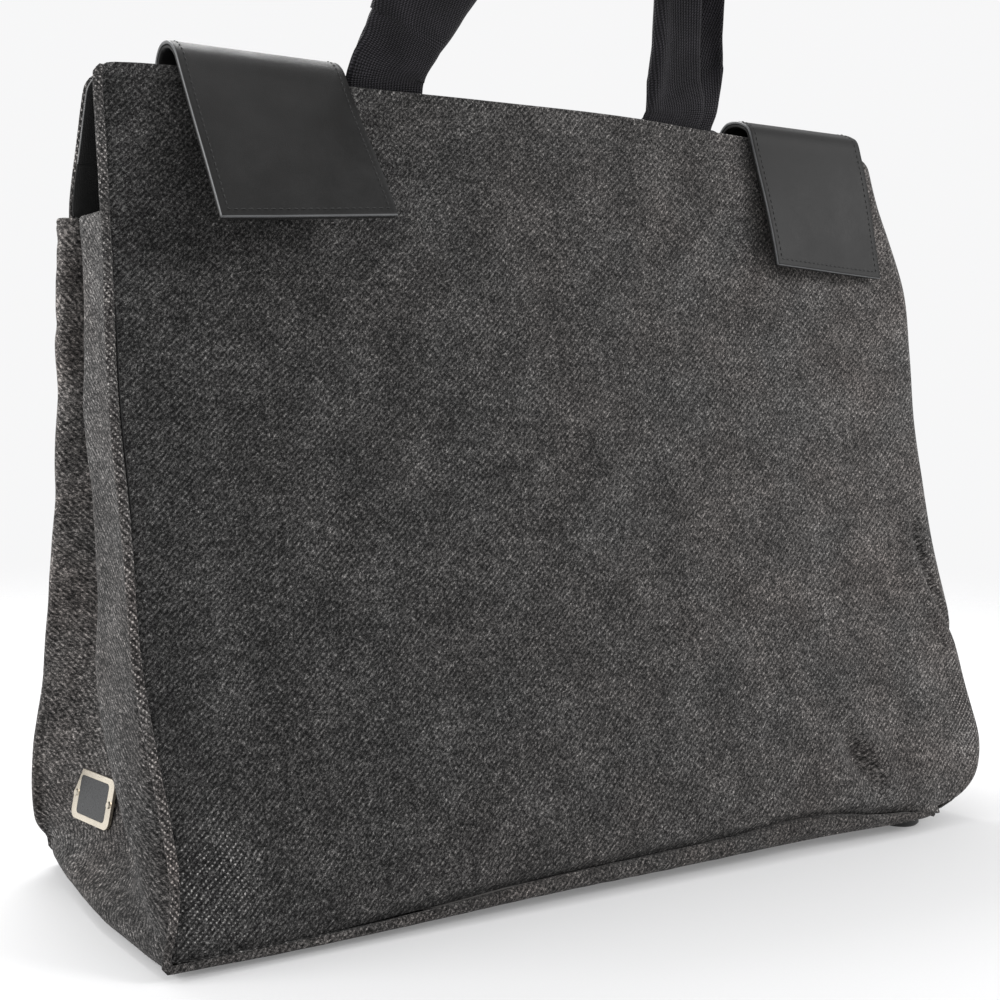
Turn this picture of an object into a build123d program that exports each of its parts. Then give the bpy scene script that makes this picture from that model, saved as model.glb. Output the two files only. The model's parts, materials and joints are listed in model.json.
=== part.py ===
from build123d import *
import math
import os

# A soft-sided weekender bag in wool flannel.  Two leaning panels and two folded side gussets stand
# on a stiffened bottom, two webbing handles rise from the mouth, and two leather flaps sewn to the
# back close over the front.  Units are millimetres.  The origin is the centre of the base on the
# floor, -Y is the front, +X is to the right for someone facing the front, and +Z is up.

# ---- driving dimensions ----
width = 465.0               # over the side pipings
floor_gap = 3.5             # the feet lift the bottom piping this far off the floor
top_z = 371.5               # top edge of both panels
base_half = 90.0            # outer face of a panel at its foot, from the middle plane
top_half = 8.8              # the same at the top edge: the mouth is nearly closed

shell_t = 2.4               # flannel with its interlining
lining_t = 0.8
facing_t = 1.0
facing_drop = 2.0           # the facing ends this far below the folded edge of the panel
ply_gap = 0.1               # between plies that are sewn together
piping_r = 2.0
piping_seat = 0.4           # its centre line lies this far behind the outer face
corner_r = 25.0             # bottom corners, on the piping's centre line
top_corner_r = 7.0
facing_depth = 40.0         # the lining starts this far below the top edge

gusset_low_z = 30.0
gusset_top_z = 302.0
fold_stations = ((gusset_low_z, 8.0), (66.0, 22.0), (180.0, 43.0), (gusset_top_z, 66.0))  # z, fold depth
hem_h = 3.0

strap_w = 42.0
strap_t = 4.0
strap_flat_t = 2.4          # the webbing is pressed flat where it is sewn and where it folds
strap_x = 90.0              # centre of each handle leg
strap_sewn = 46.0           # length sewn down inside the mouth
strap_stub = 12.0           # from the top of the seam to the fold
strap_fold_gap = 3.3        # the stub stops this far short of the fold
handle_lean = 23.0          # degrees from upright at the front, from hanging at the back
leg_cant = 14.0             # degrees that each leg leans towards the other
leg_rise = 185.0
twist_start = 30.0          # each leg turns a quarter between these two heights
twist_end = 175.0

flap_x = 161.0              # centre of each flap
flap_w = 80.0
flap_t = 3.2                # two plies of leather
backing_t = 1.4
flap_clear = 0.8            # leather to the outer faces at the top edge
arch_rise = 3.6             # underside of the arch over the top edge
arch_r = 5.0                # underside of the arch at its two shoulders
flap_hinge_z = 368.0
hinge_clear = 0.4           # leather to the back panel at the hinge
tab_gap = 4.4               # hinge to the top of the sewn tab
tab_len = 42.0
left_tip = (-57.0, 303.0)   # y and z of the underside at the free edge
right_tip = (-31.5, 300.5)

snap_r = 7.0
snap_from_tip = 20.0
socket_t = 2.2
stud_plate_t = 1.2
stud_t = 1.8
stud_r = 3.0
socket_hole_r = 3.5
snap_shank_r = 2.0
snap_washer_t = 0.8

board_z = 8.0
board_t = 3.0
foot_r = 10.5
foot_chamfer = 1.2
foot_x = 188.0
foot_y = 68.0
foot_shank_r = 2.0
foot_head_r = 3.2
foot_washer_r = 6.0
washer_t = 0.8

plaque_w = 36.0
plaque_h = 23.0
plaque_t = 1.4
plaque_corner_r = 4.0
plaque_rim = 2.6
plaque_recess = 0.5
plaque_y = 38.0
plaque_z = 43.0
plaque_lift = 1.2           # clear of the curved cloth
rivet_x = 15.6
rivet_r = 0.9
rivet_head_r = 1.7
rivet_grip = 5.4            # plaque to the inside washer
hole_clear = 0.1            # on the radius, round every shank

# ---- derived sizes ----
lean_run = base_half - top_half
lean_rise = top_z - floor_gap
panel_len = math.hypot(lean_run, lean_rise)
lean_sin = lean_run / panel_len
lean_cos = lean_rise / panel_len
edge_x = width / 2 - 2 * piping_r           # side edge of the panels, inside the piping
bottom_z = floor_gap + piping_r             # underside of the bottom panel
facing_depth_in = shell_t + ply_gap         # how far behind the outer face the second ply starts
strap_depth_in = facing_depth_in + facing_t + ply_gap


def outer_y(z):
    """Distance of a panel's outer face from the middle plane at height z."""
    return base_half - (z - floor_gap) * lean_run / lean_rise


def inner_y(z, depth):
    """The same for the surface that lies depth behind the outer face."""
    return outer_y(z) - depth / lean_cos


def panel_plane(side, depth):
    """The plane depth behind a panel's outer face; side is -1 at the front and 1 at the back.
    Its x runs across the panel, its y runs up it from the piping, and its z points out."""
    outward = Vector(0, side * lean_cos, lean_sin)
    foot = Vector(0, side * base_half, floor_gap)
    return Plane(origin=foot - outward * depth, x_dir=(-side, 0, 0), z_dir=outward)


def save(part, name):
    part.label = name
    export_step(part, "parts/" + name + ".step")


os.makedirs("parts", exist_ok=True)
faces = ((-1, "front"), (1, "back"))
ends = ((-1, "left"), (1, "right"))

# ---- where the snaps close: on the front panel, under the right flap's stud ----
shoulder = (-(top_half + flap_clear), top_z + arch_rise)


def drop_frame(tip):
    """The stud's seat on a flap's underside: its y and z, and the flap's lean off the vertical."""
    run = shoulder[0] - tip[0]
    fall = shoulder[1] - tip[1]
    lean = math.atan2(run, fall)
    y = tip[0] + snap_from_tip * math.sin(lean)
    z = tip[1] + snap_from_tip * math.cos(lean)
    return y, z, lean


right_stud_y, right_stud_z = drop_frame(right_tip)[:2]
snap_up = (right_stud_z - floor_gap) * lean_cos + (base_half + right_stud_y) * lean_sin


# ---- cloth sheets in the plane of a panel ----
def panel_sheet(side, depth, thickness, half_w, low, high, low_r, high_r, with_holes=False):
    """A flat ply with rounded corners, from low to high up the panel and thickness inward."""
    with BuildPart() as sheet:
        with BuildSketch(panel_plane(side, depth)) as outline:
            with Locations((0, (low + high) / 2)):
                Rectangle(2 * half_w, high - low)
            fillet(outline.vertices().sort_by(Axis.Y)[:2], low_r)
            fillet(outline.vertices().sort_by(Axis.Y)[-2:], high_r)
            if with_holes:
                with Locations((-flap_x, snap_up), (flap_x, snap_up)):
                    Circle(snap_shank_r + hole_clear, mode=Mode.SUBTRACT)
        extrude(amount=-thickness)
    return sheet.part


panel_low = 2 * piping_r
lining_low = 30.0
lining_half_w = edge_x - 15.5
lining_high = panel_len - facing_depth
for side, face in faces:
    snaps_here = face == "front"
    panel = panel_sheet(side, 0, shell_t, edge_x, panel_low, panel_len, corner_r - piping_r,
                        top_corner_r, snaps_here)
    save(panel, face + "_panel")
    lining = panel_sheet(side, facing_depth_in, lining_t, lining_half_w, lining_low, lining_high,
                         12.0, 1.0, snaps_here)
    save(lining, face + "_lining")
    facing = panel_sheet(side, facing_depth_in, facing_t, edge_x - 2, lining_high + ply_gap,
                         panel_len - facing_drop, 1.0, top_corner_r - 2)
    save(facing, face + "_facing")

# ---- piping round the sides and foot of each panel ----
for side, face in faces:
    with BuildPart() as piping:
        side_x = width / 2 - piping_r
        piping_top = panel_len - top_corner_r
        with BuildLine(panel_plane(side, piping_seat)) as seam:
            FilletPolyline((-side_x, piping_top), (-side_x, piping_r), (side_x, piping_r),
                           (side_x, piping_top), radius=corner_r)
        with BuildSketch(Plane(origin=seam.line @ 0, z_dir=seam.line % 0)):
            Circle(piping_r)
        sweep(path=seam.line)
    save(piping.part, face + "_piping")

# ---- bottom panel: a strip that turns up at both ends to meet the gussets ----
with BuildPart() as bottom_panel:
    with BuildSketch(Plane.XZ) as strip:
        with BuildLine():
            FilletPolyline((-edge_x, gusset_low_z), (-edge_x, bottom_z), (edge_x, bottom_z),
                           (edge_x, gusset_low_z), radius=corner_r - piping_r)
            Line((edge_x, gusset_low_z), (edge_x - shell_t, gusset_low_z))
            FilletPolyline((edge_x - shell_t, gusset_low_z), (edge_x - shell_t, bottom_z + shell_t),
                           (-edge_x + shell_t, bottom_z + shell_t), (-edge_x + shell_t, gusset_low_z),
                           radius=corner_r - piping_r - shell_t)
            Line((-edge_x + shell_t, gusset_low_z), (-edge_x, gusset_low_z))
        make_face()
    extrude(amount=base_half, both=True)
    for side, face in faces:
        split(bisect_by=panel_plane(side, shell_t + ply_gap), keep=Keep.BOTTOM)
    with GridLocations(2 * foot_x, 2 * foot_y, 2, 2):
        Hole(foot_shank_r + hole_clear)
save(bottom_panel.part, "bottom_panel")

with BuildPart() as base_board:
    with BuildSketch(Plane.XY.offset(board_z)):
        RectangleRounded(2 * (edge_x - corner_r + 1), 2 * (base_half - 6), 10)
    extrude(amount=board_t)
    with GridLocations(2 * foot_x, 2 * foot_y, 2, 2):
        Hole(foot_shank_r + hole_clear)
save(base_board.part, "base_board")

washer_z = board_z + board_t + ply_gap
head_z = washer_z + washer_t + ply_gap
bottom_lining_z = head_z + 0.6
with BuildPart() as bottom_lining:
    with BuildSketch(Plane.XY.offset(bottom_lining_z)):
        RectangleRounded(2 * (edge_x - corner_r + 2), 2 * (base_half - 8), 10)
    extrude(amount=lining_t)
save(bottom_lining.part, "bottom_lining")

# ---- feet: a domed disc on a shank that is peened over a washer on the board ----
with BuildPart() as feet:
    with BuildSketch():
        with GridLocations(2 * foot_x, 2 * foot_y, 2, 2):
            Circle(foot_r)
    extrude(amount=bottom_z)
    chamfer(feet.faces().sort_by(Axis.Z)[:4].edges(), foot_chamfer)
    with BuildSketch(Plane.XY.offset(bottom_z)):
        with GridLocations(2 * foot_x, 2 * foot_y, 2, 2):
            Circle(foot_shank_r)
    extrude(amount=head_z - bottom_z)
    with BuildSketch(Plane.XY.offset(head_z)):
        with GridLocations(2 * foot_x, 2 * foot_y, 2, 2):
            Circle(foot_head_r)
    extrude(amount=0.5)
save(feet.part, "feet")

with BuildPart() as foot_washers:
    with BuildSketch(Plane.XY.offset(washer_z)):
        with GridLocations(2 * foot_x, 2 * foot_y, 2, 2):
            Circle(foot_washer_r)
            Circle(foot_shank_r + hole_clear, mode=Mode.SUBTRACT)
    extrude(amount=washer_t)
save(foot_washers.part, "foot_washers")


# ---- side gussets: each is folded inward down its middle, deeper towards the top ----
def fold_depth(z):
    """How far the middle of a gusset is folded in at height z."""
    for (low_z, low), (high_z, high) in zip(fold_stations, fold_stations[1:]):
        if z <= high_z:
            return low + (high - low) * (z - low_z) / (high_z - low_z)
    return fold_stations[-1][1]


def gusset_outline(end, z, start, thickness, end_gap):
    """A level section of one gusset ply, start behind its outer face; end is -1 for the left."""
    fold = fold_depth(z)
    reach = inner_y(z, shell_t + ply_gap)
    stop = inner_y(z, shell_t + ply_gap + end_gap)
    stretch = math.hypot(reach, fold) / reach
    near = start * stretch
    far = (start + thickness) * stretch
    edge = edge_x - fold * (1 - stop / reach)
    middle = edge_x - fold
    points = [(edge - near, -stop), (middle - near, 0), (edge - near, stop),
              (edge - far, stop), (middle - far, 0), (edge - far, -stop)]
    return [(end * x, y) for x, y in points]


def plaque_plane(depth):
    """The plane depth below the plaque's underside, on the back half of the left gusset."""
    reach = inner_y(plaque_z, shell_t + ply_gap)
    share = 1 - plaque_y / reach
    slope_y = fold_depth(plaque_z) / reach
    slope_z = (fold_depth(plaque_z + 1) - fold_depth(plaque_z)) * share
    spot = Vector(-(edge_x - fold_depth(plaque_z) * share), plaque_y, plaque_z)
    outward = Vector(-1, -slope_y, slope_z).normalized()
    return Plane(origin=spot + outward * (plaque_lift - depth), x_dir=(slope_y, -1, 0), z_dir=outward)


rivet_spots = ((-rivet_x, 0), (rivet_x, 0))


def gusset_ply(end, start, thickness, end_gap, low_z, high_z):
    """One ply of a gusset from low_z to high_z; the left one is holed for the plaque's rivets."""
    inner_z = [z for z, depth in fold_stations if low_z < z < high_z]
    with BuildPart() as ply:
        for z in [low_z, *inner_z, high_z]:
            with BuildSketch(Plane.XY.offset(z)):
                with BuildLine():
                    Polyline(gusset_outline(end, z, start, thickness, end_gap), close=True)
                make_face()
        loft(ruled=True)
        if end < 0 and low_z < plaque_z:
            with BuildSketch(plaque_plane(0)):
                with Locations(*rivet_spots):
                    Circle(rivet_r + hole_clear)
            extrude(amount=-2 * rivet_grip, mode=Mode.SUBTRACT)
    return ply.part


for end, name in ends:
    save(gusset_ply(end, 0, shell_t, 0, gusset_low_z + ply_gap, gusset_top_z), name + "_gusset")
    lining = gusset_ply(end, shell_t + ply_gap, lining_t, lining_t + 2 * ply_gap,
                        gusset_low_z + 2, gusset_top_z)
    save(lining, name + "_gusset_lining")
    hem = gusset_ply(end, 0, shell_t + ply_gap + lining_t, 0.6, gusset_top_z + ply_gap,
                     gusset_top_z + hem_h)
    save(hem, name + "_gusset_hem")

# ---- plaque: a plain enamelled plate held by two rivets and their inside washers ----
with BuildPart() as plaque_plate:
    with BuildSketch(plaque_plane(0)):
        RectangleRounded(plaque_w, plaque_h, plaque_corner_r)
    extrude(amount=plaque_t)
    with BuildSketch(plaque_plane(-plaque_t)):
        RectangleRounded(plaque_w - 2 * plaque_rim - 4, plaque_h - 2 * plaque_rim, 2)
    extrude(amount=-plaque_recess, mode=Mode.SUBTRACT)
    with BuildSketch(plaque_plane(0)):
        with Locations(*rivet_spots):
            Circle(rivet_r + hole_clear)
    extrude(amount=plaque_t, mode=Mode.SUBTRACT)
save(plaque_plate.part, "plaque_plate")

with BuildPart() as plaque_inlay:
    with BuildSketch(plaque_plane(-plaque_t)):
        RectangleRounded(plaque_w - 2 * plaque_rim - 4.2, plaque_h - 2 * plaque_rim - 0.2, 1.9)
    extrude(amount=-plaque_recess + 0.05)
save(plaque_inlay.part, "plaque_inlay")

with BuildPart() as plaque_rivets:
    with BuildSketch(plaque_plane(-plaque_t - 0.02)):
        with Locations(*rivet_spots):
            Circle(rivet_head_r)
    extrude(amount=0.8, taper=25)
    with BuildSketch(plaque_plane(-plaque_t - 0.02)):
        with Locations(*rivet_spots):
            Circle(rivet_r)
    extrude(amount=-plaque_t - rivet_grip - washer_t)
save(plaque_rivets.part, "plaque_rivets")

with BuildPart() as plaque_washers:
    with BuildSketch(plaque_plane(rivet_grip)):
        with Locations(*rivet_spots):
            Circle(rivet_head_r + 1)
            Circle(rivet_r + hole_clear, mode=Mode.SUBTRACT)
    extrude(amount=-washer_t)
save(plaque_washers.part, "plaque_washers")

# ---- handles ----
lean = math.radians(handle_lean)
cant = math.radians(leg_cant)
strap_mid = strap_depth_in + strap_flat_t / 2
seam_top = (top_half - strap_mid * lean_cos, top_z - strap_mid * lean_sin)
pivot_y = seam_top[0] + strap_stub * math.sin(lean)
pivot_z = seam_top[1] + strap_stub * math.cos(lean)
stub_y = pivot_y - strap_fold_gap * math.sin(lean)
stub_z = pivot_z - strap_fold_gap * math.cos(lean)
sewn_low = (seam_top[0] + strap_sewn * lean_sin, seam_top[1] - strap_sewn * lean_cos)

arch_x = strap_x - leg_rise * math.tan(cant)
loop_r = arch_x / math.cos(cant)
loop_up = leg_rise - loop_r * math.sin(cant)
leg_steps = 8
arch_steps = 10


def loop_stations():
    """Places round a handle: x, height above the fold, heading, quarter turns left, thickness.
    The heading is the angle of the strap's path, from 90 for straight up on the left leg."""
    stations = []
    for step in range(leg_steps):
        rise = leg_rise * step / leg_steps
        turn = min(1.0, max(0.0, (twist_end - rise) / (twist_end - twist_start)))
        heading = math.pi / 2 if step == 0 else math.pi / 2 - cant
        thickness = strap_flat_t if step < 2 else strap_t
        stations.append((-strap_x + rise * math.tan(cant), rise, heading, turn, thickness))
    for step in range(arch_steps + 1):
        around = math.pi - cant - (math.pi - 2 * cant) * step / arch_steps
        stations.append((loop_r * math.cos(around), loop_up + loop_r * math.sin(around),
                         around - math.pi / 2, 0.0, strap_t))
    for x, rise, heading, turn, thickness in reversed(stations[:leg_steps]):
        stations.append((-x, rise, -heading, -turn, thickness))
    return stations


def handle_loop(side):
    """A whole loop of strap above its fold, leaning off the bag; side is -1 at the front."""
    origin = Vector(0, side * pivot_y, pivot_z)
    up = Vector(0, side * math.sin(lean), -side * math.cos(lean))
    front = Vector(0, side * math.cos(lean), side * math.sin(lean))
    across = Vector(1, 0, 0)
    with BuildPart() as loop:
        for x, rise, heading, turn, thickness in loop_stations():
            path = across * math.cos(heading) + up * math.sin(heading)
            outside = up * math.cos(heading) - across * math.sin(heading)
            twist = turn * math.pi / 2
            flat = outside * math.cos(twist) + front * math.sin(twist)
            place = origin + across * x + up * rise
            with BuildSketch(Plane(origin=place, x_dir=path.cross(flat), z_dir=path)):
                Rectangle(strap_w, thickness)
        loft(ruled=True)
    return loop.part


for side, face in faces:
    save(handle_loop(side), face + "_handle")
    with BuildPart() as handle_ends:
        for end, name in ends:
            with BuildSketch(Plane.YZ.offset(end * strap_x - strap_w / 2)):
                with BuildLine():
                    Polyline((side * sewn_low[0], sewn_low[1]), (side * seam_top[0], seam_top[1]),
                             (side * stub_y, stub_z))
                trace(line_width=strap_flat_t)
            extrude(amount=strap_w)
    save(handle_ends.part, face + "_handle_ends")


# ---- leather flaps ----
hinge_side = outer_y(flap_hinge_z) + hinge_clear


def flap_face(tip, thickness, mode=Mode.ADD):
    """The flap's section from its hinge over the mouth to its tip, thickness out from its underside."""
    with BuildLine() as edge:
        FilletPolyline((hinge_side, flap_hinge_z), (hinge_side, shoulder[1]), shoulder, tip,
                       radius=arch_r)
        offset(amount=thickness, side=Side.RIGHT)
    make_face(edge.edges(), mode=mode)


for end, name, tip in ((-1, "left", left_tip), (1, "right", right_tip)):
    low_x = end * flap_x - flap_w / 2
    with BuildPart() as flap_backing:
        with BuildSketch(Plane.YZ.offset(low_x)):
            flap_face(tip, backing_t)
        extrude(amount=flap_w)
    save(flap_backing.part, name + "_flap_backing")

    with BuildPart() as flap_outer:
        with BuildSketch(Plane.YZ.offset(low_x)):
            flap_face(tip, flap_t)
            flap_face(tip, backing_t + ply_gap / 2, Mode.SUBTRACT)
        extrude(amount=flap_w)
    save(flap_outer.part, name + "_flap_outer")

    with BuildPart() as flap_tab:
        with BuildSketch(panel_plane(1, -ply_gap)):
            tab_top = (flap_hinge_z - tab_gap - floor_gap) / lean_cos
            with Locations((-end * flap_x, tab_top - tab_len / 2)):
                Rectangle(flap_w, tab_len)
        extrude(amount=flap_t)
    save(flap_tab.part, name + "_flap_tab")

    stud_y, stud_z, stud_lean = drop_frame(tip)
    inward = (0, math.cos(stud_lean), -math.sin(stud_lean))
    stud_plane = Plane(origin=(end * flap_x, stud_y, stud_z), x_dir=(1, 0, 0), z_dir=inward)
    with BuildPart() as snap_stud:
        with BuildSketch(stud_plane.offset(ply_gap / 2)):
            Circle(snap_r)
        extrude(amount=stud_plate_t)
        with BuildSketch(stud_plane.offset(stud_plate_t)):
            Circle(stud_r)
        extrude(amount=stud_t)
    save(snap_stud.part, name + "_snap_stud")

    with BuildPart() as snap_socket:
        with BuildSketch(panel_plane(-1, -ply_gap)):
            with Locations((end * flap_x, snap_up)):
                Circle(snap_r)
        extrude(amount=socket_t)
        with BuildSketch(panel_plane(-1, -ply_gap - socket_t)):
            with Locations((end * flap_x, snap_up)):
                Circle(socket_hole_r)
        extrude(amount=-(socket_t - 0.5), mode=Mode.SUBTRACT)
        with BuildSketch(panel_plane(-1, -ply_gap)):
            with Locations((end * flap_x, snap_up)):
                Circle(snap_shank_r)
        extrude(amount=-(facing_depth_in + lining_t + 2 * ply_gap + snap_washer_t))
    save(snap_socket.part, name + "_snap_socket")

    with BuildPart() as snap_washer:
        with BuildSketch(panel_plane(-1, facing_depth_in + lining_t + ply_gap)):
            with Locations((end * flap_x, snap_up)):
                Circle(snap_r - 1)
                Circle(snap_shank_r + hole_clear, mode=Mode.SUBTRACT)
        extrude(amount=-snap_washer_t)
    save(snap_washer.part, name + "_snap_washer")
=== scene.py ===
"""Looks of a soft-sided flannel weekender bag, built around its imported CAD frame.

Lengths are in millimetres until a mesh is made, and the frame is the CAD one: the origin is the
centre of the base on the floor, -Y is the front, +X is to the right and +Z is up.  Every cloth or
leather piece carries an attribute called cloth: the place on the flat material, in metres.
"""
import json
from math import cos, hypot, pi, radians, sin, sqrt, tan

import bpy
import bmesh
import numpy as np
from mathutils import Matrix, Vector, noise


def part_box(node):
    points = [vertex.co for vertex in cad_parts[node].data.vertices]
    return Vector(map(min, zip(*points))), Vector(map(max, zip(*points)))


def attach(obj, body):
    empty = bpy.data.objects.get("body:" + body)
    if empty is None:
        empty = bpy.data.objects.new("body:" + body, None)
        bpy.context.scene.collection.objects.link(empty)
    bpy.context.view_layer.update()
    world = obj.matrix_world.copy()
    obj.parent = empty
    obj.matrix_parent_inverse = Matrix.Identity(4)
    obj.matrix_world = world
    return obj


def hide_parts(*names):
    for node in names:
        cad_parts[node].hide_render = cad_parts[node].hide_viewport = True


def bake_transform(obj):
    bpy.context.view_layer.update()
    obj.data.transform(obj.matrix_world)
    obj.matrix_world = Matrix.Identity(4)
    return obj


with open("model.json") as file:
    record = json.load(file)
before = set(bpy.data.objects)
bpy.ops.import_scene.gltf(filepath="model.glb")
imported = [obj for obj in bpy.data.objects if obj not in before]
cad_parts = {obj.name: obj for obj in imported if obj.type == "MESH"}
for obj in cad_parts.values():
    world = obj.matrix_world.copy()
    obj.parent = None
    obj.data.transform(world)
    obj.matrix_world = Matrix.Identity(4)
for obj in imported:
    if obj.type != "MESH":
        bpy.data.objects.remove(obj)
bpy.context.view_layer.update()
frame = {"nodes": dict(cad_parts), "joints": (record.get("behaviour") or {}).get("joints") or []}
MM = 0.001
nodes = frame["nodes"]
scene = bpy.context.scene


def box_mm(node):
    low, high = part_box(node)
    return np.array(low) / MM, np.array(high) / MM


# ---- sizes read from the frame ----
piping_low, piping_high = box_mm("front_piping")
joints = {joint["name"]: np.array(joint["pos_m"]) / MM for joint in frame["joints"]}

HALF_W = piping_high[0]
FLOOR_GAP = piping_low[2]
TOP_Z = box_mm("front_panel")[1][2]
BASE_HALF = 90.0
TOP_HALF = 8.8
LEAN = (BASE_HALF - TOP_HALF) / (TOP_Z - FLOOR_GAP)
LEAN_COS = 1 / hypot(1, LEAN)
LEAN_SIN = LEAN * LEAN_COS
GUSSET_TOP = box_mm("left_gusset_hem")[1][2]
SHELL_T = 2.4
PIPING_R = 2.1
PANEL_FOOT = 5.5
WEB_HALF = 21.0
STRAP_X = box_mm("front_handle_ends")[1][0] - WEB_HALF
FACES = ((-1, "front"), (1, "back"))
ENDS = ((-1, "left"), (1, "right"))


# ---- small tools ----
def smooth(t):
    t = np.clip(t, 0.0, 1.0)
    return t * t * (3 - 2 * t)


def hump(*away):
    """1 where every given distance is 0, falling off smoothly past 1."""
    return np.exp(-sum(t ** 2 for t in away))


def rounding(t):
    """How far a quarter circle lies behind its tangent, from 1 at t = 0 to 0 at t = 1 and beyond."""
    t = np.clip(t, 0, 1)
    return 1 - np.sqrt(np.clip(1 - (1 - t) ** 2, 0, 1))


def through(*points):
    """A smooth function through a few (place, value) points."""
    a = np.array(points, float)
    slope = np.gradient(a[:, 1], a[:, 0])

    def value(x):
        x = np.clip(x, a[0, 0], a[-1, 0])
        i = np.clip(np.searchsorted(a[:, 0], x) - 1, 0, len(a) - 2)
        h = a[i + 1, 0] - a[i, 0]
        t = (x - a[i, 0]) / h
        ahead = (3 - 2 * t) * t * t
        return ((1 - ahead) * a[i, 1] + ahead * a[i + 1, 1]
                + t * (1 - t) ** 2 * h * slope[i] - t * t * (1 - t) * h * slope[i + 1])
    return value


def spline(points, count):
    """count points along a smooth line through the given ones, about evenly spaced."""
    p = np.array(points, float)
    padded = np.vstack([2 * p[0] - p[1], p, 2 * p[-1] - p[-2]])
    fine = []
    for i in range(len(p) - 1):
        a, b, c, d = padded[i:i + 4]
        t = np.linspace(0, 1, 24, endpoint=False)[:, None]
        fine.append(0.5 * (2 * b + (c - a) * t + (2 * a - 5 * b + 4 * c - d) * t ** 2
                           + (3 * b - a - 3 * c + d) * t ** 3))
    return evenly(np.vstack(fine + [p[-1:]]), count)


def run_along(line):
    """The length along a line up to each of its points."""
    return np.concatenate([[0], np.cumsum(np.linalg.norm(np.diff(line, axis=0), axis=1))])


def pick(line, run, at):
    """The points of a line, or values given at its points, at these lengths along it."""
    return np.stack([np.interp(at, run, line[:, k]) for k in range(line.shape[1])], -1)


def evenly(line, count):
    run = run_along(line)
    return pick(line, run, np.linspace(0, run[-1], count))


def stack(*parts):
    """Points or vectors from their components, spread over one shape."""
    return np.stack(np.broadcast_arrays(*parts), -1)


def waves(x, y, z, scale, seed):
    """Smooth noise between about -1 and 1; scale is the size of its lumps."""
    flat = stack(x, y, z)
    shape = flat.shape[:-1]
    flat = flat.reshape(-1, 3) / scale + seed * 17.3
    return np.array([noise.noise(Vector(p)) for p in flat]).reshape(shape)


def unit(v):
    return v / np.maximum(np.linalg.norm(v, axis=-1, keepdims=True), 1e-9)


def grid_normals(grid):
    return unit(np.cross(np.gradient(grid, axis=1), np.gradient(grid, axis=0)))


def ring_faces(rings, sides, first=0):
    """Faces between closed rings of points, whose first point has that number."""
    faces = []
    for a in range(first, first + (rings - 1) * sides, sides):
        for s in range(sides):
            n = (s + 1) % sides
            faces.append((a + s, a + n, a + sides + n, a + sides + s))
    return faces


def add_object(name, data):
    made = bpy.data.objects.new(name, data)
    scene.collection.objects.link(made)
    return made


def add_piece(name, points, faces, material, cloth=None, wear=None):
    """A mesh object from points in millimetres, with its cloth coordinates and wear."""
    mesh = bpy.data.meshes.new(name)
    mesh.from_pydata((np.asarray(points, float) * MM).tolist(), [], faces)
    for key, kind, data in (("cloth", "FLOAT_VECTOR", cloth), ("wear", "FLOAT", wear)):
        if data is None:
            continue
        layer = mesh.attributes.new(key, kind, "POINT")
        field = "vector" if kind == "FLOAT_VECTOR" else "value"
        layer.data.foreach_set(field, np.asarray(data, np.float32).ravel())
    build = bmesh.new()
    build.from_mesh(mesh)
    bmesh.ops.recalc_face_normals(build, faces=build.faces)
    build.to_mesh(mesh)
    build.free()
    mesh.polygons.foreach_set("use_smooth", [True] * len(mesh.polygons))
    mesh.materials.append(material)
    return add_object(name, mesh)


def border(rows, cols):
    """The (row, column) places round the edge of a grid, in order."""
    ring = [(0, c) for c in range(cols)] + [(r, cols - 1) for r in range(1, rows)]
    ring += [(rows - 1, c) for c in range(cols - 2, -1, -1)] + [(r, 0) for r in range(rows - 2, 0, -1)]
    return np.array(ring)


def sheet_mesh(outer, inner, bulge=0.45):
    """Points and faces of a closed ply between two grids, with rounded edges all round."""
    rows, cols = outer.shape[:2]
    count = rows * cols
    ring = border(rows, cols)
    at = ring @ (cols, 1)
    near = np.clip(ring, 1, (rows - 2, cols - 2)) @ (cols, 1)
    o = outer.reshape(-1, 3)
    i = inner.reshape(-1, 3)
    away = unit(o[at] - o[near])
    thick = np.linalg.norm(o[at] - i[at], axis=1, keepdims=True)
    rim = (o[at] + i[at]) / 2 + away * thick * bulge
    faces = []
    for r in range(rows - 1):
        for c in range(cols - 1):
            a = r * cols + c
            faces.append((a, a + 1, a + cols + 1, a + cols))
            faces.append((count + a, count + a + cols, count + a + cols + 1, count + a + 1))
    n = len(ring)
    first = 2 * count
    for k in range(n):
        m = (k + 1) % n
        a, b = int(at[k]), int(at[m])
        faces.append((a, first + k, first + m, b))
        faces.append((first + k, count + a, count + b, first + m))
    return np.vstack([o, i, rim]), faces, at


def add_ply(name, outer, thickness, material, cloth, inward, wear=None, bulge=0.45):
    """A sheet of cloth or leather as a closed solid: outer is its outer surface as a grid."""
    thick = np.broadcast_to(np.asarray(thickness, float), outer.shape[:2])[..., None]
    inner = outer + inward * thick
    points, faces, at = sheet_mesh(outer, inner, bulge)
    flat = cloth.reshape(-1, 2)
    deep = thick.reshape(-1, 1)
    all_cloth = np.vstack([np.hstack([flat, 0 * deep]), np.hstack([flat, deep]),
                           np.hstack([flat[at], deep[at] / 2])]) * MM
    all_wear = None
    if wear is not None:
        worn = wear.ravel()
        all_wear = np.concatenate([worn, worn, worn[at]])
    return add_piece(name, points, faces, material, all_cloth, all_wear)


def settle(piece, body, slot, *stands_for):
    """Fix a piece to a body and hide the CAD nodes that it replaces; its slot is not used."""
    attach(piece, body)
    if stands_for:
        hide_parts(*stands_for)


def bag_sheet(node, grid, thickness, look, cloth, inward, wear=None, kind="_cloth"):
    """A ply of the bag in place of a CAD node.

    look is its slot and material."""
    slot, material = look
    piece = add_ply(node + kind, grid, thickness, material, cloth, inward, wear)
    settle(piece, "bag", slot, node)
    width = np.ptp(cloth[..., 0], axis=1).mean() * MM
    length = np.ptp(cloth[..., 1], axis=0).mean() * MM
    return piece


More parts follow.
